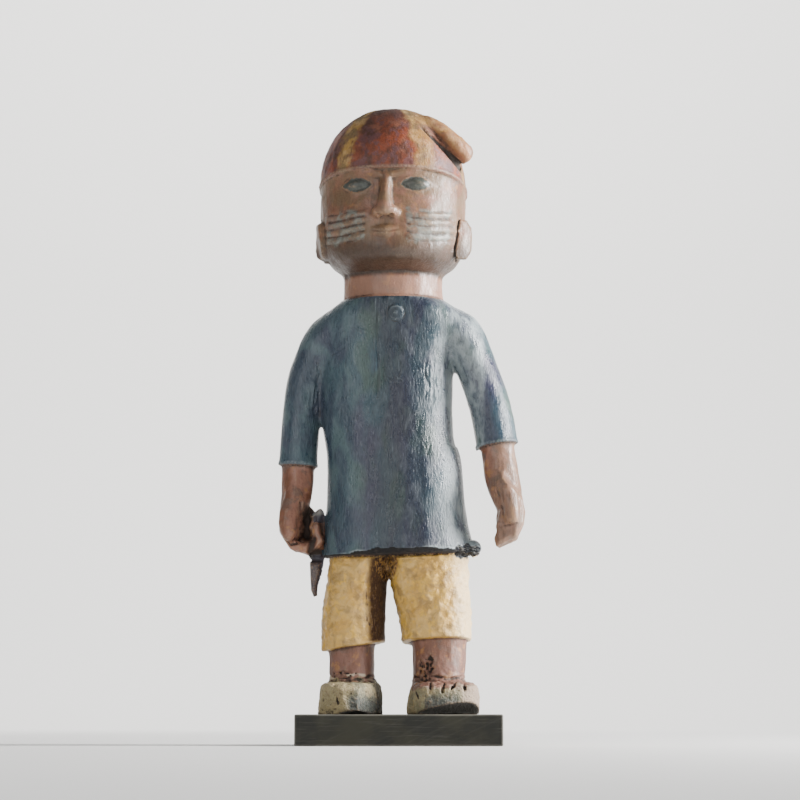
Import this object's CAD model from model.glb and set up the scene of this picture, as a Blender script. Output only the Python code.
import math

import bmesh
import bpy
import numpy as np
from mathutils import Matrix, Vector, noise
from mathutils.kdtree import KDTree


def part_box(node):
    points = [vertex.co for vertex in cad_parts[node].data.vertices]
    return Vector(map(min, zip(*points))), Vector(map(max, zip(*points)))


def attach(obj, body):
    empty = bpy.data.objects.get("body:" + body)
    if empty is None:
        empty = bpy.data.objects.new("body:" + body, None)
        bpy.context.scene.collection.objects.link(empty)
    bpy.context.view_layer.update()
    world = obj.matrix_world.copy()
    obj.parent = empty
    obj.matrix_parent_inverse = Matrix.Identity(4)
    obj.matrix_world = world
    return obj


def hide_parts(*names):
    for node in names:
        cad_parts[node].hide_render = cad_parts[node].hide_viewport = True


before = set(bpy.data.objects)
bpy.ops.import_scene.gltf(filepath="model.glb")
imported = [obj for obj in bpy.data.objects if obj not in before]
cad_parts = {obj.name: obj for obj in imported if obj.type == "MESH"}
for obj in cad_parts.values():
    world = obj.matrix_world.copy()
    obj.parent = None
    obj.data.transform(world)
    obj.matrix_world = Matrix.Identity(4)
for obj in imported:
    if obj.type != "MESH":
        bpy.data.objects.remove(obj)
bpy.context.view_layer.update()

scene = bpy.context.scene

# The studio. A pale sweep of card runs from under the stand up behind it. A
# long soft box stands at the figure's left, and a weak one fills the front.

CAMERA_AWAY = 2.6
CAMERA_RISE = math.radians(6.76)
CAMERA_FOOT = 0.0303  # the lens stands at the height of the plinth's top
CAMERA_ACROSS = 0.0012
FOCAL_LENGTH = 119.2
SENSOR = 36
SWEEP_WIDTH = 16
SWEEP_FRONT, SWEEP_BACK, SWEEP_HEIGHT, SWEEP_BEND = -8, 3.4, 5, 1.2
BEND_STEPS = 12
CARD_COLOUR = (0.78, 0.77, 0.75, 1)
AIR_COLOUR, AIR_STRENGTH = (0.83, 0.86, 0.9, 1), 0.3
LIGHTS = (  # name, place, aim and size in metres, and power in watts
    ("key_light", (2.3, -0.25, 0.95), (0, 0, 0.34), (0.8, 1.5), 290),
    ("front_fill", (-1.5, -2.9, 1.2), (0, 0, 0.3), (1.8, 1.8), 34),
    ("sweep_light", (0, 2.3, 3.0), (0, 4.6, 0.8), (5, 1), 260),
)


def new_material(name, roughness, specular=0.5):
    material = bpy.data.materials.new(name)
    material.use_nodes = True
    tree = material.node_tree
    shader = tree.nodes["Principled BSDF"]
    shader.inputs["Roughness"].default_value = roughness
    shader.inputs["Specular IOR Level"].default_value = specular
    return material, tree, shader


def new_object(name, mesh):
    made = bpy.data.objects.new(name, mesh)
    scene.collection.objects.link(made)
    return made


def studio_sweep():
    profile = [(SWEEP_FRONT, 0)]
    for k in range(BEND_STEPS + 1):
        turn = math.pi / 2 * k / BEND_STEPS
        y = SWEEP_BACK + SWEEP_BEND * math.sin(turn)
        profile.append((y, SWEEP_BEND * (1 - math.cos(turn))))
    profile.append((SWEEP_BACK + SWEEP_BEND, SWEEP_HEIGHT))
    mesh = bmesh.new()
    rows = [
        [mesh.verts.new((x, y, z)) for y, z in profile]
        for x in (-SWEEP_WIDTH / 2, SWEEP_WIDTH / 2)
    ]
    for k in range(len(profile) - 1):
        mesh.faces.new((rows[0][k], rows[1][k], rows[1][k + 1], rows[0][k + 1]))
    bmesh.ops.recalc_face_normals(mesh, faces=mesh.faces)
    data = bpy.data.meshes.new("studio_sweep")
    mesh.to_mesh(data)
    mesh.free()
    data.shade_smooth()
    material, _, shader = new_material("pale_card", 0.9, 0.1)
    shader.inputs["Base Color"].default_value = CARD_COLOUR
    data.materials.append(material)
    sweep = new_object("studio_sweep", data)


def soft_box(name, place, aim, size, power):
    light = bpy.data.lights.new(name, "AREA")
    light.shape = "RECTANGLE"
    light.size, light.size_y = size
    light.energy = power
    lamp = new_object(name, light)
    lamp.location = place
    way = Vector(aim) - Vector(place)
    lamp.rotation_euler = way.to_track_quat("-Z", "Y").to_euler()


def set_camera():
    camera = new_object("camera", bpy.data.cameras.new("camera"))
    camera.data.lens = FOCAL_LENGTH
    camera.data.sensor_width = SENSOR
    camera.location = (CAMERA_ACROSS, -CAMERA_AWAY, CAMERA_FOOT)
    camera.rotation_euler = (math.pi / 2 + CAMERA_RISE, 0, 0)
    scene.camera = camera


set_camera()
studio_sweep()
for light in LIGHTS:
    soft_box(*light)
world = bpy.data.worlds.new("studio_air")
world.use_nodes = True
air = world.node_tree.nodes["Background"].inputs
air["Color"].default_value = AIR_COLOUR
air["Strength"].default_value = AIR_STRENGTH
scene.world = world

# The plinth. A slab of close-grained hardwood, planed flat and stained nearly
# black, with its edges eased by hand. The figure's soles rest on it.

PLINTH_STAIN = (0.011, 0.011, 0.008, 1)
PLINTH_FADED = (0.021, 0.020, 0.012, 1)
PLINTH_WORN = (0.150, 0.142, 0.120, 1)
WORN_BAND = 2.2  # how far the edges' wear reaches, in millimetres
BRUSH_LEAN = math.radians(24)
FINER_SHARE = 0.55  # how much each finer layer of a pattern keeps of the one before


def add(kind, inputs=None, **settings):
    """A node of the material in hand, with its settings and with its inputs set or linked."""
    node = tree.nodes.new(kind)
    for name, value in settings.items():
        setattr(node, name, value)
    for name, value in (inputs or {}).items():
        if isinstance(value, bpy.types.NodeSocket):
            tree.links.new(value, node.inputs[name])
        else:
            node.inputs[name].default_value = value
    return node


def linked(kind, output, inputs=None, **settings):
    return add(kind, inputs, **settings).outputs[output]


def coordinates():
    """Places on the object, in millimetres."""
    place = linked("ShaderNodeTexCoord", "Object")
    inputs = {0: place, 1: (1000, 1000, 1000)}
    return linked("ShaderNodeVectorMath", "Vector", inputs, operation="MULTIPLY")


def mottle(where, size, stretch=(1, 1, 1), detail=4, seed=0.0, warp=0.0):
    """Soft random patches of about a size in millimetres, mostly between 0.3 and 0.7."""
    scale = tuple(1 / (size * s) for s in stretch)
    moved = {"Vector": where, "Location": (seed, 2 * seed, -seed), "Scale": scale}
    spread = linked("ShaderNodeMapping", "Vector", moved)
    inputs = {"Vector": spread, "Scale": 1, "Detail": detail, "Roughness": FINER_SHARE, "Distortion": warp}
    return linked("ShaderNodeTexNoise", "Fac", inputs)


def span(value, low, high, start=0.0, end=1.0):
    """Value, eased from start at low to end at high."""
    inputs = {"Value": value, "From Min": low, "From Max": high, "To Min": start, "To Max": end}
    return linked("ShaderNodeMapRange", "Result", inputs, interpolation_type="SMOOTHSTEP")


def sums(operation, a, b=0):
    return linked("ShaderNodeMath", "Value", {0: a, 1: b}, operation=operation)


def times(a, b):
    return sums("MULTIPLY", a, b)


def blend(share, under, over):
    """A colour, from under where share is 0 to over where it is 1."""
    node = tree.nodes.new("ShaderNodeMix")
    node.data_type = "RGBA"
    for socket, value in ((node.inputs[0], share), (node.inputs[6], under), (node.inputs[7], over)):
        if isinstance(value, bpy.types.NodeSocket):
            tree.links.new(value, socket)
        else:
            socket.default_value = value
    return node.outputs[2]


def link_shader(colour, roughness, relief, strength, depth):
    """Links the material in hand's colour, roughness and fine relief to its shader."""
    bump = {"Height": relief, "Strength": strength, "Distance": depth}
    normal = linked("ShaderNodeBump", "Normal", bump)
    for name, value in (("Base Color", colour), ("Roughness", roughness), ("Normal", normal)):
        tree.links.new(value, shader.inputs[name])


def worn_edges(where, low, high):
    """1 along a box's edges, easing to 0 a little way in. Its corners are in millimetres."""
    split = add("ShaderNodeSeparateXYZ", {0: where})
    near = []
    for k in range(3):
        off = sums("ABSOLUTE", sums("SUBTRACT", split.outputs[k], (low[k] + high[k]) / 2))
        half = (high[k] - low[k]) / 2
        near.append(span(off, half - WORN_BAND, half - 0.2))
    pairs = [times(near[k], near[k - 1]) for k in range(3)]
    return sums("MAXIMUM", pairs[0], sums("MAXIMUM", pairs[1], pairs[2]))


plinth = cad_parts["plinth"]
corners = np.array([v.co for v in plinth.data.vertices]) * 1000
plinth_look, tree, shader = new_material("dark_stain", 0.5, 0.3)
where = coordinates()
leaning = linked("ShaderNodeMapping", "Vector", {"Vector": where, "Rotation": (0, BRUSH_LEAN, 0)})
brush = mottle(leaning, 2.4, (16, 6, 1), seed=4.0)
grain = mottle(where, 1.2, (30, 1, 1), warp=0.3)
cloud = mottle(where, 34, detail=3, seed=9.0)
edges = worn_edges(where, corners.min(0).tolist(), corners.max(0).tolist())
stain = blend(span(cloud, 0.35, 0.65), PLINTH_STAIN, PLINTH_FADED)
stain = blend(span(brush, 0.45, 0.8, 0, 0.08), stain, PLINTH_WORN)
stain = blend(span(grain, 0.55, 0.8, 0, 0.2), stain, PLINTH_WORN)
stain = blend(times(edges, span(cloud, 0.3, 0.6, 0.5, 0.9)), stain, PLINTH_WORN)
link_shader(stain, span(brush, 0.3, 0.7, 0.42, 0.6), sums("ADD", grain, brush), 0.4, 0.0002)
plinth.data.materials.clear()
plinth.data.materials.append(plinth_look)

# The figure's wood. One block is carved with adze and knife. The form that the
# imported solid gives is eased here, and each section below cuts its piece in it.

FINE_VOXEL = 0.0012
VOXEL = FINE_VOXEL
FIGURE_PARTS = 600  # the carving is laid out in 600 parts of the figure's height
FIGURE_TURN = math.radians(-6)  # the figure stands turned, and off the plinth's middle by BODY_SHIFT
BODY_SHIFT = -2
CREASE = math.radians(60)  # sharper edges of the solid than this stay sharp
SLIT_X = -14  # the solid's slit is eased away here, and cut again with the tunic
SOLE_EDGE = 1.8  # the rounding of the soles' edges that easing leaves is pressed flat below this
SOLE_GAP = 0.25  # between the solid's soles and the plinth
WOOD_DARK = (0.075, 0.040, 0.024, 1)
WOOD_PALE = (0.36, 0.235, 0.135, 1)

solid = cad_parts["colon_figure"]
figure_low, figure_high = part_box("colon_figure")
PART = (figure_high.z - figure_low.z) / FIGURE_PARTS
figure_place = Matrix.LocRotScale(
    (BODY_SHIFT * PART, 0, figure_low.z),
    Matrix.Rotation(FIGURE_TURN, 3, "Z"),
    (PART, PART, PART),
)


def ramp(value, low, high):
    """From 0 below low to 1 above high, with soft ends."""
    t = np.clip((value - low) / (high - low), 0, 1)
    return t * t * (3 - 2 * t)


def whole_solid():
    """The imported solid, with the seams closed that its file has along sharp edges."""
    mesh = bmesh.new()
    mesh.from_mesh(solid.data)
    bmesh.ops.remove_doubles(mesh, verts=mesh.verts, dist=1e-6)
    mesh.transform(figure_place.inverted())
    return mesh


def crease_points(mesh, spacing=1.2):
    """Points along the solid's sharp edges."""
    found = []
    for edge in mesh.edges:
        if len(edge.link_faces) == 2 and edge.calc_face_angle() > CREASE:
            a, b = (v.co for v in edge.verts)
            steps = max(2, int((a - b).length / spacing) + 1)
            found += [a.lerp(b, k / (steps - 1)) for k in range(steps)]
    return found


def apply_modifiers(thing):
    view = bpy.context.evaluated_depsgraph_get()
    mesh = bpy.data.meshes.new_from_object(thing.evaluated_get(view))
    thing.modifiers.clear()
    thing.data = mesh


def remeshed(mesh):
    """An even skin of small squares over the solid."""
    data = bpy.data.meshes.new("carved_figure")
    mesh.to_mesh(data)
    thing = new_object("carved_figure", data)
    remesh = thing.modifiers.new("even_skin", "REMESH")
    remesh.mode = "VOXEL"
    remesh.voxel_size = VOXEL / PART
    apply_modifiers(thing)
    return thing


class Skin:
    """The points of the block's surface, in parts, while it is carved."""

    def __init__(self, mesh):
        self.points = np.empty(3 * len(mesh.vertices))
        mesh.vertices.foreach_get("co", self.points)
        self.points = self.points.reshape(-1, 3)
        self.count = len(self.points)
        edges = np.empty(2 * len(mesh.edges), int)
        mesh.edges.foreach_get("vertices", edges)
        self.a, self.b = edges.reshape(-1, 2).T
        corners = np.empty(len(mesh.loops), int)
        mesh.loops.foreach_get("vertex_index", corners)
        self.faces = corners.reshape(-1, 4)
        self.degree = self.total(np.ones(self.count))
        self.fields = {}

    def total(self, values):
        """The sum of each point's neighbours."""
        a, b, n = self.a, self.b, self.count
        return np.bincount(a, values[b], n) + np.bincount(b, values[a], n)

    def around(self, values):
        """The mean of each point's neighbours."""
        if values.ndim == 1:
            return self.total(values) / self.degree
        return np.stack([self.total(column) / self.degree for column in values.T], 1)

    def ease(self, rounds, share=0.5):
        """Smooths the surface by share, which may differ from point to point."""
        share = np.broadcast_to(share, self.count)[:, None]
        for _ in range(rounds):
            self.points = self.points + share * (self.around(self.points) - self.points)

    def blur(self, values, rounds):
        for _ in range(rounds):
            values = (values + self.around(values)) / 2
        return values

    def normals(self):
        corners = [self.points[self.faces[:, k]] for k in range(4)]
        facing = np.cross(corners[2] - corners[0], corners[3] - corners[1])
        total = np.zeros((self.count, 3))
        for axis in range(3):
            for k in range(4):
                total[:, axis] += np.bincount(self.faces[:, k], facing[:, axis], self.count)
        return total / np.maximum(np.linalg.norm(total, axis=1, keepdims=True), 1e-9)

    def push(self, amount):
        """Moves the surface out by amount, in parts."""
        self.points = self.points + self.normals() * np.broadcast_to(amount, self.count)[:, None]


def distance_to(places, points):
    """Each point's distance to the nearest of some places."""
    lookup = KDTree(len(places))
    for k, place in enumerate(places):
        lookup.insert(place, k)
    lookup.balance()
    return np.array([lookup.find(p)[2] for p in points.tolist()])


class Coats:
    """Coats of paint, laid one on another over the wood."""

    def __init__(self, colour, roughness, height):
        self.colour, self.roughness, self.height = colour, roughness, height

    def lay(self, share, colour, roughness=None, height=None):
        self.colour = blend(share, self.colour, colour)
        for name, value in (("roughness", roughness), ("height", height)):
            if value is not None:
                under = getattr(self, name)
                inputs = {"Value": share, "From Min": 0.0, "From Max": 1.0, "To Min": under, "To Max": value}
                setattr(self, name, linked("ShaderNodeMapRange", "Result", inputs))


solid_mesh = whole_solid()
creases = crease_points(solid_mesh)
figure = remeshed(solid_mesh)
solid_mesh.free()
skin = Skin(figure.data)
x, y, z = skin.points.T
free = ramp(distance_to(creases, skin.points), 0.6, 4.5)
free = np.where((np.abs(x - SLIT_X) < 5) & (z > 298) & (z < 412) & (y < -30), 1, free)
fine = ramp(np.abs(x), 70, 76) * (1 - ramp(z, 232, 244))
fine = np.maximum(fine, 1 - ramp(z, 36, 44))
fine = np.maximum(fine, ramp(np.abs(x + 3.5), 58, 62) * (z > 443) * (z < 492) * ramp(y, -50, -40))
skin.ease(10, 0.5 * free)
skin.ease(35, 0.5 * free * (1 - fine))
skin.ease(60, 0.5 * (np.abs(x - SLIT_X) < 7) * (z > 296) * (z < 402) * (y < -30))
skin.ease(2, 0.4)
x, y, z = skin.points.T
skin.points[:, 2] = np.where(z < SOLE_EDGE, np.maximum(SOLE_EDGE - 2 * (SOLE_EDGE - z), -SOLE_GAP), z)

material, tree, shader = new_material("worn_paint_on_wood", 0.5)
where = coordinates()
spot = add("ShaderNodeSeparateXYZ", {0: where}).outputs
height, sideways = spot["Z"], spot["X"]
grain = mottle(where, 0.9, (1, 1, 16), detail=5, warp=0.3)
coats = Coats(blend(span(grain, 0.35, 0.65), WOOD_DARK, WOOD_PALE), 0.7, grain)

# The skin. Neck, face, arms and legs have one coat of brown earth paint, thin
# enough for the grain to show, with rosier and greyer patches where it is rubbed.

SKIN_BROWN = (0.175, 0.068, 0.036, 1)
SKIN_ROSE = (0.270, 0.125, 0.085, 1)
SKIN_GREY = (0.120, 0.080, 0.064, 1)
SKIN_DEEP = (0.060, 0.028, 0.018, 1)
SKIN_AMBER = (0.360, 0.165, 0.055, 1)
SKIN_PLUM = (0.105, 0.052, 0.044, 1)
SKIN_OLIVE = (0.150, 0.092, 0.048, 1)
SKIN_DUN = (0.190, 0.140, 0.098, 1)
JAW_SHADE = (0.030, 0.017, 0.011, 1)
NECK_PALE = (0.360, 0.205, 0.145, 1)


def painted(colour, *touches):
    """A colour with touches of others over it, each a share and its colour."""
    for share, over in touches:
        colour = blend(share, colour, over)
    return colour


patch = mottle(where, 30, (1, 1, 1.3), detail=3, seed=1.0, warp=0.4)
cloud = mottle(where, 12, seed=2.0, warp=0.6)
chip = mottle(where, 2.0, detail=5, seed=41.0)
streak = mottle(where, 3.0, (1, 1, 3), detail=5, seed=3.0)
speck = mottle(where, 1.7, detail=2, seed=5.0)
amber = mottle(where, 9, detail=3, seed=4.0)
grained = times(span(sideways, 84, 98, 0, 0.4), span(streak, 0.5, 0.64))
patina = span(mottle(where, 24, seed=8.0, warp=0.5), 0.38, 0.6, 0.2, 0.9)
patina = times(patina, span(height, 462, 472))
on_neck = times(span(height, 461, 454, 0, 0.5), span(height, 400, 420))
under_jaw = times(span(height, 500, 474, 0, 0.9), span(height, 455, 460))
skin_colour = painted(
    blend(span(patch, 0.42, 0.6), SKIN_BROWN, SKIN_ROSE),
    (span(height, 150, 60, 0, 0.45), SKIN_PLUM),
    (span(cloud, 0.5, 0.66, 0, 0.7), SKIN_GREY),
    (span(amber, 0.56, 0.68, 0, 0.65), SKIN_AMBER),
    (span(streak, 0.5, 0.75, 0, 0.4), SKIN_DEEP),
    (span(speck, 0.62, 0.74, 0, 0.5), SKIN_DEEP),
    (span(sideways, 84, 98, 0, 0.4), SKIN_DUN),
    (grained, SKIN_DEEP),
    (patina, SKIN_OLIVE),
    (on_neck, NECK_PALE),
    (under_jaw, JAW_SHADE),
)
skin_height = sums("ADD", span(streak, 0.2, 0.8, 0, 0.5), span(chip, 0.3, 0.7, 0, 0.3))
skin_gloss = sums("ADD", span(streak, 0.3, 0.7, 0.28, 0.5), span(height, 140, 70, 0, 0.18))
coats.lay(0.94, skin_colour, skin_gloss, skin_height)

# The head. It is carved with a calm, even face: shallow almond eyes, a straight
# nose and closed lips. Bands are cut across each cheek, as on many such figures.

HEAD_X = -3.5
CHIN, SKULL_TOP = 437, 588
EYES = (CHIN + SKULL_TOP) / 2
BROW = EYES + 10
NOSE_FOOT = (BROW + CHIN) / 2
MOUTH = NOSE_FOOT - (NOSE_FOOT - CHIN) / 3
EYE_ACROSS = 28.4
EYE_HALF_WIDTH, EYE_HALF_HEIGHT = 14.5, 6.6
BANDS, BAND_HEIGHT = 4, 7.4
EYE_PAINT = (0.046, 0.056, 0.048, 1)
MARK_PAINT = (0.085, 0.098, 0.085, 1)
MARK_PALE = (0.200, 0.215, 0.190, 1)
RIGHT_EAR = (-19, 464.5)
EAR_HALF_HEIGHT, EAR_HALF_WIDTH, EAR_WIDER = 20, 18, 3  # the last is how much wider it is at its top
EAR_SPLIT = [(65, 483), (63.5, 472), (62.5, 461), (60.5, 451), (60, 444)]


def bead(value, middle, width):
    """1 where value is at middle, falling to 0 on both sides like a rounded bead."""
    return np.exp(-(((value - middle) / width) ** 2))


def lumps(size, seed, stretch=(1, 1, 1), octaves=1, near=None):
    """Soft random relief from about -1 to 1, with hills of about that size, where near is over 0."""
    chosen = np.full(skin.count, True) if near is None else near > 0
    at = skin.points[chosen] / (size * np.array(stretch)) + seed
    relief = np.zeros(skin.count)
    relief[chosen] = [1.6 * noise.fractal(p, 1, 2, octaves) for p in at.tolist()]
    return relief


def distance_to_path(points, path):
    """Each point's distance to a line through the path's corners, in two or three dimensions."""
    path = np.array(path, float)
    least = np.full(len(points), np.inf)
    for start, end in zip(path, path[1:]):
        way = end - start
        share = np.clip((points - start) @ way / (way @ way), 0, 1)
        least = np.minimum(least, np.linalg.norm(points - start - share[:, None] * way, axis=1))
    return least


def score(path, half_width, depth, lip=0.0):
    """Scores a line in the front, given as (x, z).

    Gives each point's share of the cut and of its lips.
    """
    near = distance_to_path(skin.points[:, [0, 2]], path) / half_width
    front = ramp(-skin.normals()[:, 1], 0.15, 0.5)
    cut = np.clip(1 - near**2, 0, 1) * front
    lips = bead(near, 1.5, 0.5) * front
    skin.push(lip * lips - depth * cut)
    return cut, lips


def tool_marks(where, width, length, depth, turn=0.0):
    """Shallow scoops that a blade leaves, each with its ridge, longer up the block than across.

    Where is each point's share of the full depth, and turn leans the cuts over.
    """
    inside = where > 0.01
    points = skin.points[inside]
    lean = np.array([[math.cos(turn), 0, -math.sin(turn)], [0, 1, 0], [math.sin(turn), 0, math.cos(turn)]])
    squeezed = points @ lean / (width, width, length)
    room = len(points) * (VOXEL / PART) ** 2
    count = max(3, int(room / (width * length) / 1.6))
    centres = squeezed[draw.choice(len(squeezed), count, replace=False)]
    scoop = np.clip(1 - distance_to(centres, squeezed) ** 2, 0, 1)
    amount = np.zeros(skin.count)
    amount[inside] = -depth * scoop * where[inside]
    skin.push(skin.blur(amount, 2))


def field(name):
    """What the carved skin holds under a name, point by point."""
    return linked("ShaderNodeAttribute", "Fac", attribute_name=name)


def zone(name, ragged=0.8, size=3.0, soft=0.35):
    """1 where a field of distances is over 0, with an edge as ragged as a brush leaves."""
    wobble = span(mottle(where, size, detail=3, seed=2.0), 0.25, 0.75, -ragged, ragged)
    return span(sums("ADD", field(name), wobble), -soft, soft)


draw = np.random.default_rng(11)
head_x, head_y, head_z = skin.points.T
on_face = ramp(-skin.normals()[:, 1], 0.1, 0.5) * ramp(head_z, CHIN - 4, CHIN + 4) * (head_z < 530)
marks = np.full(skin.count, -9.0)
grooves = np.zeros(skin.count)
eyes = np.full(skin.count, -9.0)
for side in (-1, 1):
    across = (head_x - HEAD_X) * side
    u = (across - EYE_ACROSS) / EYE_HALF_WIDTH
    v = (head_z - EYES) / EYE_HALF_HEIGHT
    lid = (np.abs(v) - (1 - np.clip(np.abs(u), 0, 1.2) ** 2)) * EYE_HALF_HEIGHT
    lid = np.where(np.abs(u) < 1.15, lid, 9)
    rim = bead(lid, 1.0, 1.3) - 0.7 * bead(lid, -1.6, 1.6)
    skin.push(0.6 * rim * on_face)
    eyes = np.maximum(eyes, np.where(on_face > 0.3, -lid + 0.3, -9))
    top = NOSE_FOOT + 6 + 0.0035 * (across - 40) ** 2 + 0.9 * np.sin(across / 9 + side)
    band = (top - head_z) / BAND_HEIGHT
    inside = ramp(band, -0.1, 0.05) * (1 - ramp(band, BANDS - 0.05, BANDS + 0.1))
    reach = ramp(across, 18, 22) * (1 - ramp(across, 60, 66)) * ramp(-skin.normals()[:, 1], 0.05, 0.3)
    to_groove = np.abs(band - np.round(band)) * BAND_HEIGHT
    skin.push(0.6 * np.cos(math.pi * (band - 0.5)) ** 2 * inside * reach)
    worn = np.clip(0.6 + 0.7 * lumps(9, 2 + side, near=reach), 0.1, 1)
    groove = np.clip(1 - (to_groove / 1.5) ** 2, 0, 1) * inside * reach * worn
    skin.push(-0.7 * groove)
    grooves = np.maximum(grooves, groove)
    edge = np.minimum(np.minimum(across - 20, 62 - across), np.minimum(band, BANDS - band) * BAND_HEIGHT)
    edge = np.minimum(edge, to_groove * 1.6 - 0.2)
    marks = np.maximum(marks, np.where(reach > 0.3, edge, -9))
    nostril = np.linalg.norm(skin.points - (HEAD_X + side * 6, -77, NOSE_FOOT - 0.5), axis=1)
    skin.push(-2.0 * np.clip(1 - (nostril / 3.2) ** 2, 0, 1))
score([(HEAD_X + x, MOUTH - 0.4 - 0.9 * math.cos(x / 4.4)) for x in range(-12, 13, 2)], 0.9, 0.8)
score([(HEAD_X, MOUTH + 5), (HEAD_X, NOSE_FOOT - 3)], 2.4, 0.3)
ear_up = (head_z - RIGHT_EAR[1]) / EAR_HALF_HEIGHT
ear_back = (head_y - RIGHT_EAR[0]) / (EAR_HALF_WIDTH + EAR_WIDER * ear_up)
right_ear = ramp(-60 - head_x, 0, 4) * (1 - ramp(np.abs(ear_up) ** 3 + np.abs(ear_back) ** 3, 0.5, 1))
skin.points[:, 0] -= 5 * right_ear
in_left_ear = ramp(head_x, 54, 57) * (head_z > 444) * (head_z < 492) * (head_y < -2) * (head_y > -50)
split = distance_to_path(skin.points[:, [0, 2]], EAR_SPLIT) / (1.2 + 0.7 * lumps(5, 2, near=in_left_ear))
split = np.clip(1.1 - split**2, 0, 1) * in_left_ear
skin.push(-2.0 * split)
tool_marks(ramp(head_z, 404, 408) * (1 - ramp(head_z, 430, 436)), 13, 16, 0.5)
on_head_skin = ramp(head_z, 406, 420) * (head_z < 512)
uneven = 0.4 * lumps(17, 4, octaves=2, near=on_head_skin) + 0.14 * lumps(4.5, 6, near=on_head_skin)
skin.push(uneven * on_head_skin)
skin.fields.update(eyes=eyes, marks=marks, grooves=grooves, split=split)

mark_colour = blend(span(cloud, 0.42, 0.66), MARK_PAINT, MARK_PALE)
mark_share = times(zone("marks", 3.4, 8.0, 2.6), span(cloud, 0.36, 0.58, 0.25, 0.8))
coats.lay(mark_share, mark_colour, 0.36)
coats.lay(times(field("grooves"), 0.45), SKIN_DEEP, 0.6)
eye_colour = blend(span(streak, 0.45, 0.7, 0, 0.7), EYE_PAINT, MARK_PAINT)
coats.lay(times(zone("eyes", 0.8, 2.5, 0.6), 0.95), eye_colour, 0.36)

# The cap. A soft pointed cap, cut from the same wood: gores of brick red and
# ochre meet at the crown, over a thin rolled rim, and its point is folded over.

CAP_RIM, CAP_DIP = 516, 0.17
CAP_RED = (0.210, 0.048, 0.018, 1)
CAP_DARK = (0.052, 0.021, 0.013, 1)
CAP_ROSE = (0.270, 0.095, 0.052, 1)
CAP_OCHRE = (0.430, 0.250, 0.060, 1)
CAP_PALE = (0.500, 0.310, 0.120, 1)
CAP_OLIVE = (0.140, 0.100, 0.042, 1)
TIP_BLUSH = (0.360, 0.150, 0.075, 1)
CAP_PLUM = (0.120, 0.050, 0.052, 1)
CAP_TUCKED = (0.120, 0.040, 0.022, 1)
DIRT = (0.026, 0.018, 0.013, 1)
GORES = ((-84, 7), (-34, 6), (31, 7.5), (76, 7), (118, 8), (165, 8), (-140, 8))  # degrees: middle, half width
TIP_LINE = [(16, -22, 582), (34, -33, 575), (52, -34, 562.5), (69, -29, 549)]
TIP_END = (74, -34, 548)
FOLD_START, FOLD_END = np.array((31, 570.5)), np.array((65, 537.5))

x, y, z = skin.points.T
over_rim = z - (CAP_RIM - CAP_DIP * y)
on_head = (z > 480) & (np.abs(x - HEAD_X) < 80)
skin.push(np.where(on_head, 0.7 * bead(over_rim, 1.8, 1.7), 0))
on_cap = ramp(over_rim, 2, 9) * on_head
skin.push((0.7 * lumps(26, 3, (1, 1, 1.6), near=on_cap) + 0.2 * lumps(6, 9, octaves=2, near=on_cap)) * on_cap)
fold_way = (FOLD_END - FOLD_START) / np.linalg.norm(FOLD_END - FOLD_START)
fold_up = np.array((-fold_way[1], fold_way[0]))
along = (skin.points[:, [0, 2]] - FOLD_START) @ fold_way
above = (skin.points[:, [0, 2]] - FOLD_START) @ fold_up
tip = distance_to_path(skin.points, TIP_LINE)
facing = ramp(-y, 10, 24) * (z > 522) * ramp(along, -6, 8) * (along < 56)
tucked = (1 - ramp(above, 4, 11)) * ramp(above, -1.5, 0.5) * facing * (tip < 18)
skin.points[:, 1] += 4.0 * tucked * ramp(along, 0, 22)
fold = np.clip(1 - ((above + 0.3) / (1.3 + 0.055 * np.clip(along, 0, 50))) ** 2, 0, 1) * facing
skin.push(-3.6 * fold)
around_head = np.degrees(np.arctan2(x - HEAD_X, -y))
gores = np.full(skin.count, -99.0)
for middle, half in GORES:
    apart = np.abs((around_head - middle + 180) % 360 - 180)
    gores = np.maximum(gores, half * (0.8 + 0.6 * ramp(z, 525, 585)) - apart)
tip_end = np.linalg.norm(skin.points - TIP_END, axis=1)
on_tip = ramp(14 - tip, -1, 1.5)
tool_marks(on_tip, 3.4, 6, 0.45, 0.9)
rim_line = np.where(on_head, bead(over_rim, 1.0, 2.2), 0)
skin.fields.update(cap=np.where(on_head, over_rim, -20), gores=gores * 1.2)
skin.fields.update(tip=13.0 - tip, tip_end=12 - tip_end, fold=fold, tucked=tucked, rim=rim_line)

cap_patch = mottle(where, 24, (1, 1, 1.8), detail=3, seed=6.0, warp=0.3)
cap_blush = mottle(where, 15, detail=3, seed=7.0)
ochre = painted(
    blend(span(cloud, 0.42, 0.6), CAP_OCHRE, CAP_PALE),
    (span(cap_blush, 0.46, 0.62, 0, 0.8), CAP_OLIVE),
    (span(streak, 0.5, 0.72, 0, 0.6), CAP_DARK),
)
gore_share = times(zone("gores", 3.0, 12.0, 4.5), span(streak, 0.34, 0.5, 0.5, 0.9))
gore_share = times(gore_share, span(sideways, 8, 26, 1, 0.66))
tip_colour = blend(span(streak, 0.4, 0.6, 0.35, 0.75), ochre, SKIN_AMBER)
cap_colour = painted(
    blend(span(cap_patch, 0.46, 0.64, 0, 0.9), CAP_RED, CAP_DARK),
    (span(cap_blush, 0.5, 0.68, 0, 0.8), CAP_ROSE),
    (span(amber, 0.48, 0.6, 0, 0.75), CAP_PLUM),
    (span(height, 590, 624, 0, 0.85), CAP_DARK),
    (span(streak, 0.48, 0.75, 0, 0.45), CAP_DARK),
    (gore_share, ochre),
    (times(zone("tip", 2.0, 8.0, 3.0), 0.9), tip_colour),
    (times(zone("tip_end", 3.0, 8.0, 4.0), 0.6), TIP_BLUSH),
    (times(field("rim"), 0.6), SKIN_GREY),
)
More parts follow.
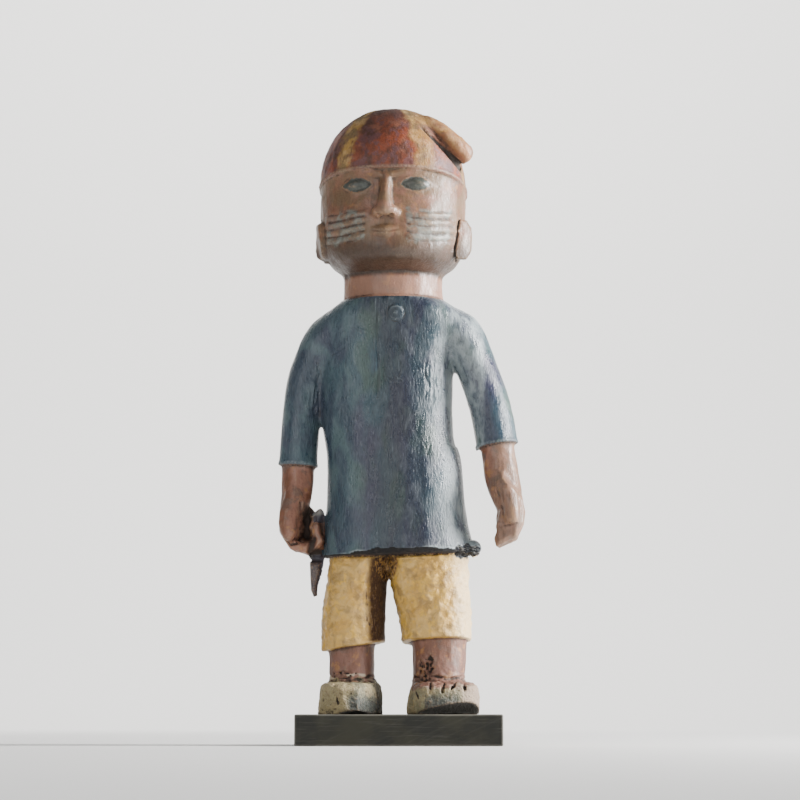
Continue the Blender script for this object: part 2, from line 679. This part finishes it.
cap_height = sums("ADD", span(streak, 0.2, 0.8, 0, 0.5), span(chip, 0.3, 0.7, 0, 0.5))
cap_gloss = sums("ADD", span(cap_patch, 0.3, 0.7, 0.4, 0.58), span(height, 590, 620, 0, 0.25))
coats.lay(zone("cap", 0.7), cap_colour, cap_gloss, cap_height)
coats.lay(times(field("tucked"), 0.85), CAP_TUCKED, 0.9)
coats.lay(span(field("fold"), 0.1, 0.6, 0, 0.95), DIRT, 0.85)

# The tunic. It is carved full and straight over the hips, with short sleeves,
# a slit and one button, and painted indigo, which has rubbed to green and silver.

COLLAR = 405.8
HEM, HEM_SLOPE = 154, 0.022
RIGHT_CUFF, RIGHT_CUFF_WAY = (-97.5, -4, 243), (-0.064, -0.02, -0.998)
LEFT_CUFF, LEFT_CUFF_WAY = (100, -6, 261), (0.158, -0.07, -0.985)
BUTTON = (4, 389)
PEG_HOLE = (101, -26, 297)
SLIT = [(-14, 403), (-14.6, 370), (-13.2, 340), (-14, 306)]
CHEST_NICKS = (
    [(-2, 338), (0, 330), (4, 323)],
    [(8, 342), (8.5, 334), (7, 326)],
    [(-3, 325), (3, 321), (9, 322)],
    [(31, 262), (34, 254)],
    [(37, 260), (34, 250)],
)
SHOULDER_NICKS = [(-52, 372), (-40, 376), (-26, 371)], [(-60, 350), (-47, 356)]
ARMPITS = (-79, 321, 8, 30), (39, 321, 10, 30)
HEM_LIP, LIP_GROWTH = 0.9, 2.9  # height of the hem's dark lip, and its growth towards the figure's left
FIST = [(-100, 200), (-108, 187), (-105, 170), (-95, 162), (-84, 159.5), (-77.5, 167), (-76.5, 184)]
TORN_CORNER, TORN_REACH = (71, -20, 157), (14, 28, 7)
INDIGO = (0.024, 0.034, 0.058, 1)
INDIGO_DEEP = (0.010, 0.012, 0.018, 1)
HEM_SHADE = (0.0050, 0.0042, 0.0040, 1)
TEAL = (0.030, 0.062, 0.080, 1)
GREEN = (0.046, 0.084, 0.056, 1)
PLUM = (0.038, 0.032, 0.066, 1)
TEAL_PALE = (0.082, 0.125, 0.140, 1)
SILVER = (0.260, 0.300, 0.310, 1)
FRAYED = (0.200, 0.200, 0.190, 1)


def oval(place, fill):
    """An oval's share of the front, from fill at its middle to 0 at its edge, and 1 at most.

    Its place is x and z of its middle, its half width and its half height.
    """
    middle_x, middle_z, half_width, half_height = place
    return np.clip(fill - ((x - middle_x) / half_width) ** 2 - ((z - middle_z) / half_height) ** 2, 0, 1)


x, y, z = skin.points.T
shoulder = ramp(z, 322, 350) * (1 - ramp(z, 396, 402)) * ramp(np.abs(x + 4), 42, 54) * (z < 404)
skin.ease(110, 0.5 * shoulder)
x, y, z = skin.points.T
on_side = (skin.normals()[:, 0] < -0.6) & (x > -73.2)
in_fist = (distance_to_path(skin.points[:, [0, 2]], FIST) < 7.8) & (np.abs(y + 4) < 26) & ~on_side
right_arm = ((x < -73.5) & (z < 262)) | in_fist
left_arm = (x > np.where(z > 200, 80.5, 89)) & (z < 285)
beyond_right = (skin.points - RIGHT_CUFF) @ RIGHT_CUFF_WAY
beyond_left = (skin.points - LEFT_CUFF) @ LEFT_CUFF_WAY
over_hem = z - (HEM + HEM_SLOPE * x)
corner = 1.0 - np.linalg.norm((skin.points - TORN_CORNER) / TORN_REACH, axis=1)
corner += 0.35 * lumps(6, 19, near=corner + 0.6)
corner = np.where(left_arm | (x < 52 + 0.4 * (z - 158) ** 2 / 10), -1, corner)
cloth = np.minimum(COLLAR - z, np.maximum(over_hem + 0.4, 10 * corner))
cloth = np.where(right_arm, -beyond_right, cloth)
cloth = np.where(left_arm, -beyond_left, cloth)
on_cloth = ramp(cloth, 0, 3)

front = ramp(-skin.normals()[:, 1], 0.1, 0.5)
slit, slit_lips = score(SLIT, 1.3, 0.4, 0.2)
silvered = slit_lips * (0.2 + 0.5 * lumps(14, 6, near=slit_lips))
ring = np.abs(np.hypot(x - BUTTON[0], z - BUTTON[1]) - 6.6)
rough = 1 + 0.6 * lumps(5, 7, near=front * (z > 370))
rolled = 0.4 * bead(ring, 0, 1.2) - 0.4 * bead(ring, 2.2, 1.0)
skin.push(rolled * front * on_cloth * rough)
ring = np.abs(np.hypot(x - BUTTON[0] + 0.4, z - BUTTON[1]) - 2.9)
skin.push(-0.5 * np.clip(1 - (ring / 1.0) ** 2, 0, 1) * front * on_cloth)
for path in CHEST_NICKS:
    silvered = np.maximum(silvered, 0.35 * score(path, 1.1, 0.2, 0.25)[1])
for path in SHOULDER_NICKS:
    silvered = np.maximum(silvered, 0.25 * score(path, 1.6, 0.25, 0.2)[1])

armpit = np.zeros(skin.count)
for place in ARMPITS:
    armpit = np.maximum(armpit, oval(place, 1.3) * front * on_cloth)
skin.push(armpit * (0.9 * lumps(3.6, 10, (0.8, 1, 3.0), 2, near=armpit) - 0.2))
tool_marks(on_cloth * (z < 300), 16, 60, 0.5)
tool_marks(on_cloth * (z > 290), 14, 30, 0.35, 0.2)
cut = 0.8 * lumps(30, 5, (1, 1, 3.2), near=on_cloth) + 0.22 * lumps(8, 8, (1, 1, 3.0), near=on_cloth)
skin.push((cut + 0.06 * lumps(3.4, 9, (1, 1, 2.6), 2, near=on_cloth)) * on_cloth)
ledge = ramp(x, 52, 60) * ramp(262 - z, 0, 2.2) * (1 - ramp(262 - z, 8, 60)) * (np.abs(x) < 82)
skin.push(1.3 * ledge * on_cloth)

trunk = ~right_arm & ~left_arm & (z < 190)
wave = 0.9 * lumps(30, 12, near=trunk)
lip_height = (HEM_LIP + LIP_GROWTH * ramp(x, -66, -6)) * (1 + 0.25 * lumps(9, 13, near=trunk))
under = trunk * ramp(-y, 24, 40) * np.clip(1 - (over_hem + wave) / np.maximum(lip_height, 0.5), 0, 1)
under *= ramp(over_hem, -3, -1)
skin.points[:, 1] += 0.9 * lip_height * np.sqrt(under)
hem_edge = bead(over_hem + wave - lip_height, 0.6, 1.7) * trunk * front
skin.push(0.6 * hem_edge)
facing_down = ramp(-skin.normals()[:, 2], 0.3, 0.6) * trunk * (np.abs(over_hem) < 11)
worn_runs = np.maximum(bead(x, -38, 14), bead(x, 50, 22))
worn_runs = worn_runs * (0.7 + 0.6 * lumps(5, 14, near=hem_edge - 0.02))
silvered = np.maximum(silvered, hem_edge * np.clip(worn_runs + 0.1, 0, 1))
hem_band = trunk & (np.abs(over_hem - 3) < 12)
shaded = 0.9 * trunk * (y < -10) * bead(over_hem, -1.2, 1.3)
for beyond, arm in ((beyond_right, right_arm), (beyond_left, left_arm)):
    lip = arm * bead(beyond, -2.4, 2.0)
    skin.push(0.4 * lip * (1 + 0.6 * lumps(14, 15, near=lip - 0.02)))
    silvered = np.maximum(silvered, 0.16 * arm * bead(beyond, -0.8, 0.9))
    shaded = np.maximum(shaded, arm * bead(beyond, 1.0, 1.5))
peg = np.clip(1 - (np.linalg.norm(skin.points - PEG_HOLE, axis=1) / 1.9) ** 2, 0, 1)
skin.push(-2.2 * peg)
frayed = ramp(corner, 0, 0.25)
skin.push(frayed * (2.2 * lumps(2.2, 16, (1.8, 1.0, 0.8), 2, near=frayed) - 1.6))
skin.fields.update(cloth=cloth, slit=slit, silvered=silvered, corner=frayed, shaded=shaded)
skin.fields["under"] = np.maximum(facing_down, ramp(under, 0.02, 0.35)) * (1 - frayed)

cloth_big = mottle(where, 44, (1, 1, 2.4), detail=2, seed=11.0, warp=0.5)
cloth_mid = mottle(where, 26, (1, 1, 2.0), detail=2, seed=13.0, warp=0.5)
cloth_plum = mottle(where, 30, (1, 1, 1.8), detail=2, seed=17.0, warp=0.5)
cloth_dust = mottle(where, 9, (1, 1, 2.0), detail=5, seed=19.0, warp=0.4)
cloth_fine = mottle(where, 1.8, (1, 1, 3.2), detail=5, seed=15.0)
off_middle = sums("ABSOLUTE", sums("SUBTRACT", sideways, 6))
left_sheen = times(span(sideways, -28, -50, 0, 0.75), span(cloth_mid, 0.4, 0.6, 0.3, 1))
right_sheen = times(span(sideways, 24, 58, 0, 0.9), span(sideways, 86, 80))
right_sheen = times(right_sheen, span(cloth_dust, 0.35, 0.65, 0.3, 1))
tunic_colour = painted(
    blend(span(cloth_big, 0.4, 0.62), INDIGO, TEAL),
    (span(cloth_mid, 0.5, 0.66, 0, 0.65), GREEN),
    (span(cloth_plum, 0.48, 0.66, 0, 0.65), PLUM),
    (span(off_middle, 44, 14, 0, 0.64), INDIGO_DEEP),
    (left_sheen, TEAL_PALE),
    (right_sheen, SILVER),
    (span(cloth_dust, 0.46, 0.72, 0, 0.1), SILVER),
    (span(cloth_fine, 0.5, 0.75, 0, 0.1), SILVER),
    (span(cloth_fine, 0.48, 0.25, 0, 0.5), INDIGO_DEEP),
    (span(field("silvered"), 0.1, 0.9, 0, 0.7), SILVER),
    (span(field("under"), 0.2, 0.8, 0, 0.92), INDIGO_DEEP),
)
fray = mottle(where, 1.2, (5, 5, 1), detail=3, seed=51.0, warp=0.8)
frayed_paint = blend(span(fray, 0.5, 0.62), INDIGO_DEEP, FRAYED)
tunic_share = zone("cloth", 0.35)
tunic_gloss = span(cloth_dust, 0.32, 0.68, 0.22, 0.46)
coats.lay(tunic_share, tunic_colour, tunic_gloss, span(cloth_fine, 0.2, 0.8, 0, 0.9))
coats.lay(times(span(field("under"), 0.1, 0.5, 0, 0.95), tunic_share), HEM_SHADE, 0.95)
coats.lay(span(field("corner"), 0.1, 0.6, 0, 0.95), frayed_paint, 0.95)

# The arms and hands. Bare forearms end in loose fists, roughed out with long
# knife cuts, and the right one has a hole through it for the knife.

FINGER_CLEFT = [(107.5, 180.8), (114, 181.6), (120.8, 183)]
KNUCKLE_CUT = [(124, 206), (126, 196), (125, 186)]
THUMB_EDGE = [(-91.5, 206), (-92, 190), (-92.4, 173), (-95.5, 165.5), (-101.5, 163.8), (-108, 168)]

x, y, z = skin.points.T
hand_skin = np.where(right_arm, ramp(beyond_right, 1, 4), 0) + np.where(left_arm, ramp(beyond_left, 1, 4), 0)
tool_marks(hand_skin, 8, 30, 1.0)
tool_marks(hand_skin * (z < 215), 5, 11, 0.6)
skin.push(0.26 * lumps(4, 17, (1, 1, 3), near=hand_skin) * hand_skin)
shaky = 1.2 * lumps(6, 18, near=hand_skin)
deep = (skin.normals()[:, 1] < 0.2) & (y < -2) & right_arm
palm = ramp(x + shaky, -94, -90) * (1 - ramp(x + shaky, -86.5, -82.5))
palm = palm * ramp(z, 166, 172) * (1 - ramp(z, 192, 207)) * deep
below_grip = ramp(x, -86.2, -84) * (x < -73) * ramp(z, 147, 149)
below_grip = below_grip * (1 - ramp(z, 158, 162)) * (np.abs(y + 4) < 26)
beside_grip = ramp(x, -91, -88) * (1 - ramp(x, -80, -78)) * ramp(z, 188, 192) * (1 - ramp(z, 203, 209)) * deep
below_palm = ramp(x, -85.5, -83.5) * (1 - ramp(x, -81, -79))
below_palm = below_palm * ramp(z, 150, 154) * (1 - ramp(z, 170, 176)) * deep
below_grip = np.maximum(below_grip, below_palm)
skin.points[:, 1] += 10 * palm + 5 * below_grip
thumb = score(THUMB_EDGE, 1.6, 2.2)[0] * right_arm * (1 - ramp(z, 184, 202))
palm = skin.blur(np.maximum(palm, np.maximum(below_grip, beside_grip)) * (1 - 0.5 * ramp(z, 194, 206)), 5)
x, y, z = skin.points.T
skin.points[:, 0] += 4 * right_arm * ramp(x, -85, -77) * ramp(z, 150, 156) * (1 - ramp(z, 168, 178))
in_left_hand = left_arm & (z < 184)
fingertips = in_left_hand * ramp(178 - z, 0, 8)
skin.points[:, 0] -= 5 * fingertips * (1 - ramp(x, 100, 118))
skin.points[:, 2] -= 0.4 * np.clip(177 - z, 0, 20) * in_left_hand
x, y, z = skin.points.T
clefts = score(FINGER_CLEFT, 1.2, 1.2)[0] * in_left_hand
clefts = np.maximum(clefts, 0.25 * score(KNUCKLE_CUT, 0.9, 0.5, 0.2)[0] * left_arm)
skin.fields.update(palm=np.maximum(palm, 0.7 * thumb), clefts=clefts)
coats.lay(span(field("palm"), 0.1, 0.9, 0, 0.9), DIRT, 0.8)
coats.lay(span(field("clefts"), 0.1, 0.8, 0, 0.5), DIRT, 0.8)

# The knife. A short broad blade with a plain grip, cut in one with the hand and
# left dark grey. It is rubbed pale along its back and on the butt of the grip.

GRIP = [(-76, -10, 196), (-77, -9, 178)]
BLADE_FOOT, BLADE_MIDDLE, BLADE_HALF_THICKNESS = 155.5, -8, 2.6
BLADE_BACK = (112.6, 115.5, 120.3, 130, 150), (-79.4, -82.2, -83.7, -84.4, -85.2)  # heights, and x there
BLADE_EDGE = (
    (112.6, 115.5, 120.3, 125.2, 130, 135, 143, 150),
    (-78.2, -77.5, -77.3, -76.8, -75.3, -73.4, -71.9, -70.9),
)
BLADE_SIDE = (114, 124, 134, 150), (-73.8, -73.2, -71.4, -68.6)  # midway to the shorts
BUTT_SHIFT = (1.8, 0, 4.6)  # the grip's top stands clear of the fist
BEVEL_START = 0.3  # share of the way across where the blade thins to its edge
SLAB = 1.5  # the solid's blade is measured in slices of this height
STEEL = (0.042, 0.038, 0.050, 1)
STEEL_PALE = (0.30, 0.30, 0.28, 1)

x, y, z = skin.points.T
on_blade = (x < np.interp(z, *BLADE_SIDE)) & (x > -90) & (z > 110)
blade = np.where(on_blade, np.minimum(BLADE_FOOT - z, 4.6 - np.abs(y - BLADE_MIDDLE)), -9)
grip = np.where(z > 186, 6.4 - distance_to_path(skin.points, GRIP), -9)
slab = (z / SLAB).astype(int)
below_fist = (blade > 0) & (z < 151)
slabs = np.unique(slab[below_fist])
reach = np.array([(x[below_fist & (slab == k)].min(), x[below_fist & (slab == k)].max()) for k in slabs])
back, edge = (np.interp(z, (slabs + 0.5) * SLAB, reach[:, k]) for k in range(2))
across = np.clip(2 * (x - back) / np.maximum(edge - back, 1) - 1, -1.2, 1.2)
new_back, new_edge = np.interp(z, *BLADE_BACK), np.interp(z, *BLADE_EDGE)
thickness = 1 - 0.85 * ramp(across, BEVEL_START, 1) - 0.4 * ramp(-across, 0.8, 1)
thickness = thickness * (0.35 + 0.65 * ramp(z, 112, 118)) * BLADE_HALF_THICKNESS
shaped = ramp(blade, 0, 0.3) * ramp(BLADE_FOOT - z, 0, 3)
new_x = (new_back + new_edge) / 2 + across * (new_edge - new_back) / 2
new_y = BLADE_MIDDLE + thickness * np.clip((y - BLADE_MIDDLE) / 1.2, -1, 1)
skin.points[:, 0] += shaped * (new_x - x)
skin.points[:, 1] += shaped * (new_y - y)
skin.points += (grip > 0)[:, None] * ramp(z, 186, 192)[:, None] * BUTT_SHIFT
skin.ease(14, 0.5 * (grip > 0) * ramp(z, 188, 193))
steel_edge = np.where(blade > 0, bead(across, -1, 0.25), 0)
steel_edge = np.maximum(steel_edge, np.where(grip > 0, ramp(z, 194, 197), 0))
skin.fields.update(knife=np.maximum(blade, grip), steel_edge=steel_edge)
steel = blend(span(cloth_fine, 0.45, 0.7, 0, 0.4), STEEL, SKIN_DEEP)
steel = blend(span(field("steel_edge"), 0.2, 0.9, 0, 0.6), steel, STEEL_PALE)
coats.lay(zone("knife", 0.3, 2.0), steel, 0.42)

# The shorts. They reach the knees and are painted in a thick, lumpy yellow ochre.
# Their inner sides are bare and dark, and the wood is torn at the crotch.

RIGHT_LEG_X, RIGHT_LEG_HEM, RIGHT_LEG_SLOPE = -42.5, 65, 0.155
LEFT_LEG_X, LEFT_LEG_HEM, LEFT_LEG_SLOPE, LEFT_LEG_TIP = 39.2, 70.5, 0.045, -0.09
TORN_CROTCH = (-7, 148, 11, 20)
SPLIT_SIDE = (-21, 100, 7, 30)
OCHRE = (0.540, 0.305, 0.058, 1)
OCHRE_GOLD = (0.700, 0.410, 0.056, 1)
OCHRE_PALE = (0.640, 0.420, 0.140, 1)
OCHRE_DUSK = (0.240, 0.145, 0.052, 1)
OCHRE_CREAM = (0.860, 0.660, 0.390, 1)
OCHRE_DARK = (0.036, 0.013, 0.005, 1)
OCHRE_FIBRE = (0.340, 0.180, 0.045, 1)

x, y, z = skin.points.T
right_hem = RIGHT_LEG_HEM + RIGHT_LEG_SLOPE * (x - RIGHT_LEG_X)
left_hem = LEFT_LEG_HEM + LEFT_LEG_SLOPE * (x - LEFT_LEG_X) + LEFT_LEG_TIP * y
over_leg_hem = z - np.where(x < 0, right_hem, left_hem)
legs = ~right_arm & ~left_arm & ~on_blade & (corner < 0.05) & (np.abs(x) < 80) & (z < 190)
ochre_cloth = np.where(legs, np.minimum(over_leg_hem + 0.5, HEM + HEM_SLOPE * x - 0.9 - z), -9)
on_ochre = ramp(ochre_cloth, 0, 3)
tool_marks(on_ochre, 12, 26, 0.45)
leg_edge = np.where(legs, bead(over_leg_hem, 1.8, 1.6), 0)
skin.push(leg_edge * (0.3 + 0.35 * lumps(12, 25, near=leg_edge - 0.02)))
torn = oval(TORN_CROTCH, 1.2) * (np.abs(y) < 48) * on_ochre
split_side = oval(SPLIT_SIDE, 1.1) * (y < -15) * on_ochre
inner = ramp(skin.normals()[:, 0], 0.2, 0.6) * (x < 0) * ramp(x, -30, -20) * on_ochre
fibres = lumps(2.8, 27, (0.6, 1, 2.6), 2, near=torn + split_side)
paste = 0.9 * lumps(15, 21, near=on_ochre) + 0.8 * lumps(6, 23, near=on_ochre)
paste = (paste + 0.26 * lumps(3, 24, near=on_ochre)) * (1 - 0.6 * inner)
skin.push(paste * on_ochre + ramp(torn, 0, 0.4) * (1.2 * fibres - 0.5) + 0.7 * split_side * fibres)
cracked = np.clip(-fibres * 1.4 - 0.5, 0, 0.7) * ramp(split_side, 0, 0.4)
skin.fields.update(ochre=ochre_cloth, torn=torn, inner=inner, cracked=cracked)

ochre_big = mottle(where, 20, detail=3, seed=21.0, warp=0.5)
ochre_gold = mottle(where, 9, detail=3, seed=25.0, warp=0.6)
ochre_fine = mottle(where, 3.0, seed=23.0)
fibre = mottle(where, 1.1, (1, 1, 3.5), detail=3, seed=27.0, warp=0.8)
inner_colour = blend(span(fibre, 0.52, 0.7, 0, 0.35), OCHRE_DARK, OCHRE_FIBRE)
fibre_colour = blend(span(fibre, 0.46, 0.6), OCHRE_DARK, OCHRE_FIBRE)
shorts_colour = painted(
    blend(span(ochre_big, 0.4, 0.62, 0, 0.6), OCHRE, OCHRE_PALE),
    (span(ochre_gold, 0.5, 0.64, 0, 0.75), OCHRE_GOLD),
    (span(cloud, 0.47, 0.63, 0, 0.6), OCHRE_DUSK),
    (span(sideways, 46, 68, 0, 0.7), OCHRE_CREAM),
    (span(ochre_fine, 0.54, 0.74, 0, 0.25), OCHRE_DUSK),
    (span(ochre_fine, 0.46, 0.28, 0, 0.25), OCHRE_PALE),
    (times(field("inner"), 0.97), inner_colour),
    (span(field("torn"), 0.02, 0.5, 0, 0.95), fibre_colour),
    (span(field("cracked"), 0.1, 0.7, 0, 0.9), OCHRE_DARK),
)
shorts_gloss = sums("MAXIMUM", span(ochre_fine, 0.3, 0.7, 0.3, 0.52), times(field("inner"), 0.95))
coats.lay(zone("ochre", 0.4), shorts_colour, shorts_gloss, span(ochre_fine, 0.25, 0.75, 0, 1.5))

# The feet. They are hewn as blocks. The right one has worn to flat faces, and
# the left keeps four cuts between its toes. A grey-green paint is left on them.

FOOT_GREEN = (0.270, 0.240, 0.140, 1)
FOOT_BLUE = (0.058, 0.070, 0.068, 1)
FOOT_OCHRE = (0.440, 0.350, 0.180, 1)
FOOT_PALE = (0.48, 0.42, 0.31, 1)
FOOT_PINK = (0.340, 0.245, 0.185, 1)
SOLE = (0.085, 0.080, 0.068, 1)
FOOT_CUTS = (  # point and outward way of each flat face of the right foot
    ((-50, -50.5, 10), (-0.42, -0.9, 0.1)),
    ((-40, -51.0, 10), (0.14, -0.98, 0.12)),
    ((-45, -30, 32.0), (0.02, -0.1, 1)),
    ((-21, -30, 15), (0.86, -0.5, 0.05)),
    ((-73, -25, 14), (-0.95, -0.25, 0.18)),
)
LIFTS = (  # each lifted sole: its ankle's x, splay in degrees, rise across and ahead, height at the ankle
    (45.5, 7, 0.18, 0.35, -10.6),
    (-45, -3, 0.15, 0.2, -9),
)
TOE_SLOTS = (  # x, z and lean of the four slots, and of a crack in each foot
    (37.2, 27, 0.2), (49.8, 27.5, -0.1), (59.2, 27, -0.3), (70.2, 25.5, 0.3),
    (23.5, 18, 0.4), (-54, 13, 0.3),
)

x, y, z = skin.points.T
foot = ramp(37 - z, 0, 3) * (np.abs(x) < 90)
lifted, rim = np.zeros(skin.count), np.ones(skin.count)
for ankle_x, splay, rise_across, rise_ahead, rest in LIFTS:
    splay = math.radians(splay)
    aside = (x - ankle_x) * math.cos(splay) + y * math.sin(splay)
    ahead = (x - ankle_x) * math.sin(splay) - y * math.cos(splay)
    lift = rest + rise_across * aside + rise_ahead * ahead
    near = (np.abs(x - ankle_x) < 42) * (lift > 0.8)
    lifted = np.maximum(lifted, near * ramp(lift + 1.2 - z, 0, 0.7))
    rim = np.where(near, ramp(z - lift, 1, 6), rim)
right_foot = (x < 0) & (z < 33) & (z > 0.5)
for point, way in FOOT_CUTS:
    way = np.array(way) / np.linalg.norm(way)
    over = np.clip((skin.points - point) @ way, 0, 9) * right_foot
    skin.points = skin.points - over[:, None] * way
foot *= 0.15 + 0.85 * rim
tool_marks(foot, 12, 13, 0.7)
tool_marks(ramp(68 - z, 0, 4) * ramp(z, 34, 38), 9, 26, 0.8)
skin.push((0.5 * lumps(7, 31, octaves=2, near=foot) + 0.25 * lumps(3, 32, near=foot)) * foot)
shins = ramp(z, 34, 38) * (1 - ramp(z, 62, 68))
skin.push(0.25 * lumps(6, 34, (1, 1, 2.5), 2, near=shins) * shins)
ankle = bead(z, 35.5, 3.4) * (np.abs(x) < 90) * (y < 14)
flakes = lumps(5, 35, (2.4, 2, 0.6), 2, near=ankle - 0.05)
chipped = np.clip(1.2 * flakes, 0, 1) * ankle
skin.push(-2.2 * chipped + 0.9 * np.clip(-flakes, 0, 1) * ankle)
slots = np.zeros(skin.count)
for middle, level, lean in TOE_SLOTS:
    ragged = 1.2 + 0.3 * lumps(3, middle, near=foot)
    near = ((x - middle - lean * (level - z)) / ragged) ** 2 + ((z - level) / 4.5) ** 2
    slots = np.maximum(slots, np.clip(1.2 - near, 0, 1) * (y < -34))
skin.push(-1.6 * slots)
grit = lumps(2.2, 36, (1, 1, 1.4), 2, near=foot)
skin.push(0.3 * grit * foot)
foot_line = np.where(x < 0, 33, 26 + 0.1 * (x - 45)) - z + 2.0 * lumps(9, 33, near=foot)
skin.fields.update(foot=foot_line, chipped=chipped, slots=slots, lifted=lifted, turned=skin.normals()[:, 0])
skin.fields["pale"] = np.clip(-1.6 * flakes, 0, 1) * ankle * (x < 0)
blue = (1 - ramp(z + 2 * grit, 11, 23)) * ramp(x, -44, -38) * (1 - ramp(x, 60, 72))
skin.fields["blue"] = blue * (np.abs(x - 10) > 22)
skin.fields["pinkish"] = np.maximum(0.8 * ramp(x, 62, 74), ramp(z + 3 * grit, 21, 28)) * (x > 0) * (z < 40)

foot_big = mottle(where, 16, detail=3, seed=31.0)
foot_blue = mottle(where, 12, detail=3, seed=34.0)
foot_colour = painted(
    blend(span(foot_big, 0.44, 0.6), FOOT_GREEN, FOOT_OCHRE),
    (span(field("turned"), -0.1, 0.12, 0, 0.2), FOOT_BLUE),
    (times(field("blue"), 0.85), FOOT_BLUE),
    (span(foot_blue, 0.54, 0.68, 0, 0.3), FOOT_BLUE),
    (span(sideways, -46, -54, 0, 0.6), FOOT_OCHRE),
    (span(field("pinkish"), 0.1, 0.9, 0, 0.85), FOOT_PINK),
    (span(streak, 0.5, 0.72, 0, 0.35), SKIN_DEEP),
    (span(speck, 0.54, 0.68, 0, 0.2), FOOT_PALE),
    (field("lifted"), SOLE),
)
coats.lay(zone("foot", 2.4, 6.0, 2.0), foot_colour, 0.74, span(chip, 0.3, 0.7, 0, 2.4))
coats.lay(span(field("pale"), 0.15, 0.6, 0, 0.7), FOOT_PALE, 0.6)
coats.lay(span(field("slots"), 0.15, 0.7, 0, 0.95), DIRT, 0.85)

# Age. The paint has rubbed off the ridges and dirt has settled in the hollows.
# Insects have bored into the left shin and feet, and the wood has opened in cracks.

SHIN_WOUND = (31, 44, 8, 13)
BORED_ANKLE = (-48, 38, 17, 5)
SHIN_HOLE = (35, 54)
MOST_TRIANGLES = 192_000


def drop_inner_shells(data):
    """Keeps the largest connected surface, without the specks that remeshing seals inside it."""
    mesh = bmesh.new()
    mesh.from_mesh(data)
    bmesh.ops.dissolve_degenerate(mesh, dist=1e-4, edges=mesh.edges)
    left = set(mesh.verts)
    shells = []
    while left:
        shell = [left.pop()]
        for vert in shell:
            near = {edge.other_vert(vert) for edge in vert.link_edges} & left
            left -= near
            shell.extend(near)
        shells.append(shell)
    shells.sort(key=len)
    for shell in shells[:-1]:
        bmesh.ops.delete(mesh, geom=shell, context="VERTS")
    mesh.to_mesh(data)
    mesh.free()


x, y, z = skin.points.T
wound = oval(SHIN_WOUND, 1.3) * (y < -12)
gnawed = lumps(2.9, 51, (1, 1, 1.2), 2, near=wound)
holes = ramp(gnawed * wound, 0.2, 0.5)
skin.push(-1.3 * ramp(wound, 0, 0.5) * ramp(gnawed, -0.5, 0.3))
below_apex = (SHIN_HOLE[1] + 2.6 - z) / 5.2
hole = np.where((below_apex > 0) & (below_apex < 1), 3.6 * below_apex + 0.4 - np.abs(x - SHIN_HOLE[0]), -1)
holes = np.maximum(holes, ramp(hole, -0.2, 0.8) * (y < -12))
right_ankle = oval(BORED_ANKLE, 1.2) * (y < -12)
bored = lumps(2.4, 53, (1.5, 1, 0.8), 2, near=right_ankle)
holes = np.maximum(holes, ramp(bored * right_ankle, 0.35, 0.6))
skin.push(-2.2 * holes)
shape = ((skin.around(skin.points) - skin.points) * skin.normals()).sum(1) * (FINE_VOXEL / VOXEL) ** 2
shape = skin.blur(shape, 3)
ridge = np.where(hem_band, 0, np.clip(-shape * 14, 0, 1))
hollow = np.clip(shape * 12, 0, 1) * (1 - 0.85 * np.maximum(on_ochre, in_left_hand))
hollow = hollow * (1 - 0.7 * np.clip(armpit + slit + slit_lips, 0, 1))
skin.fields.update(ridge=ridge, hollow=hollow, holes=np.maximum(holes, peg))

rubbed = times(span(field("ridge"), 0.35, 1.0), span(chip, 0.42, 0.62, 0.1, 0.7))
coats.lay(times(rubbed, 0.55), blend(tunic_share, WOOD_PALE, SILVER), 0.5)
dirty = times(span(field("hollow"), 0.3, 1.0), span(chip, 0.3, 0.6, 0.25, 0.75))
coats.lay(dirty, DIRT, 0.75)
coats.lay(times(field("shaded"), span(chip, 0.35, 0.55, 0.2, 1)), DIRT, 0.75)
for name, low, high, most in (
    ("holes", 0.2, 0.7, 0.97),
    ("slit", 0.5, 1.0, 0.15),
    ("split", 0.1, 0.6, 0.95),
    ("chipped", 0.2, 0.7, 0.75),
):
    coats.lay(span(field(name), low, high, 0, most), DIRT, 0.85)

link_shader(coats.colour, coats.roughness, coats.height, 0.7, 0.0005)

# The carved skin goes back into its mesh, with what it holds for the paint.
figure.data.vertices.foreach_set("co", skin.points.ravel())
for name, values in skin.fields.items():
    figure.data.attributes.new(name, "FLOAT", "POINT").data.foreach_set("value", values.astype(np.float32))
fewer = figure.modifiers.new("fewer_faces", "DECIMATE")
fewer.ratio = MOST_TRIANGLES / (2 * len(figure.data.polygons))
apply_modifiers(figure)
drop_inner_shells(figure.data)
figure.data.transform(figure_place)
figure.data.shade_smooth()
figure.data.materials.clear()
figure.data.materials.append(material)
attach(figure, "root")
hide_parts("colon_figure")
